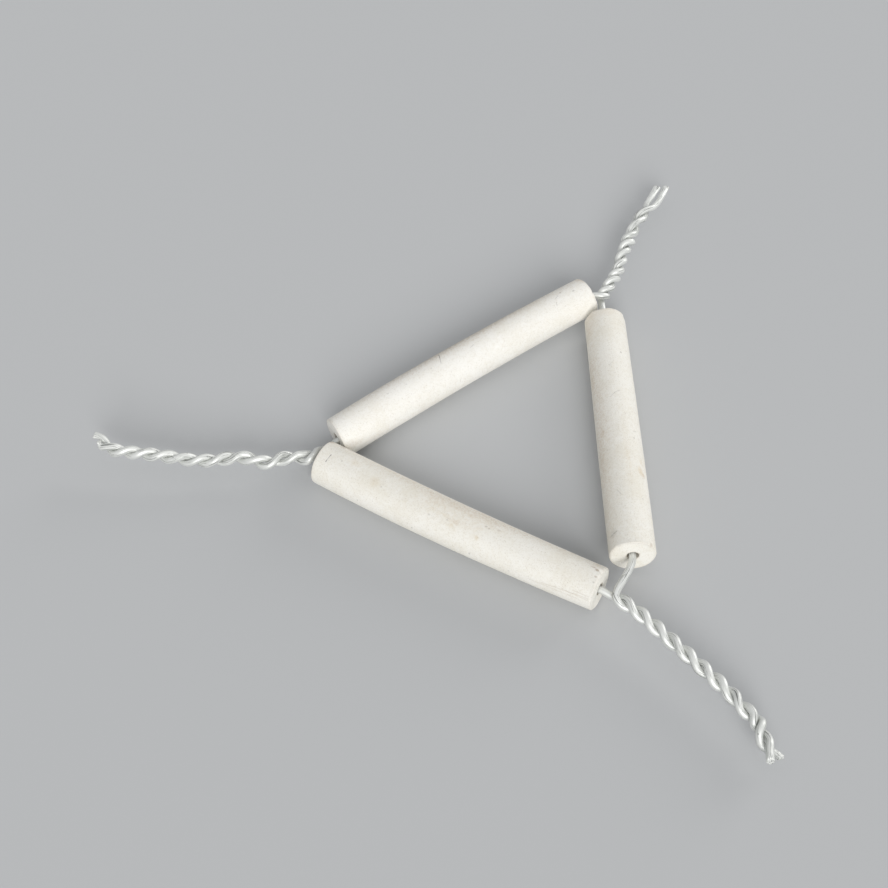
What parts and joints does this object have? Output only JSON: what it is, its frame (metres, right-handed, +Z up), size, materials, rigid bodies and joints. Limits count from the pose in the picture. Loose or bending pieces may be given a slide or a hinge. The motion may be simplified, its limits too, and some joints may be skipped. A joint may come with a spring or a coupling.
{
  "type": "pipe clay triangle",
  "caption": "Triangle of pipe clay tubes on galvanised wires, the wire ends twisted into a tail at each corner; it holds a crucible over a burner.",
  "frame": {"origin": "centre of the circle that touches the three tube axes in plan, on the surface that the triangle lies on", "axes": "+Z up out of the triangle, towards the crucible; +X along the front tube, from the left tail to the right tail"},
  "size_m": [0.1451, 0.121, 0.0102],
  "materials": {
    "pipe_clay": "unglazed, matt, with faint stains",
    "zinc_wire": "dull galvanised zinc with draw lines"
  },
  "bodies": {
    "wires": {"wire_front": "zinc_wire", "wire_right": "zinc_wire", "wire_left": "zinc_wire"},
    "front_roller": {"tube_front": "pipe_clay"},
    "right_roller": {"tube_right": "pipe_clay"},
    "left_roller": {"tube_left": "pipe_clay"}
  },
  "joints": [
    {"name": "front_tube_turn", "type": "hinge", "parent": "wires", "child": "front_roller", "pos_m": [0.0006, -0.0214, 0.00433], "axis": [1, 0, 0], "continuous": true},
    {"name": "right_tube_turn", "type": "hinge", "parent": "wires", "child": "right_roller", "pos_m": [0.01772, 0.01202, 0.00513], "axis": [-0.5297, 0.8477, -0.0273], "continuous": true},
    {"name": "left_tube_turn", "type": "hinge", "parent": "wires", "child": "left_roller", "pos_m": [-0.0176, 0.01278, 0.00508], "axis": [-0.4327, -0.9012, -0.0245], "continuous": true}
  ]
}
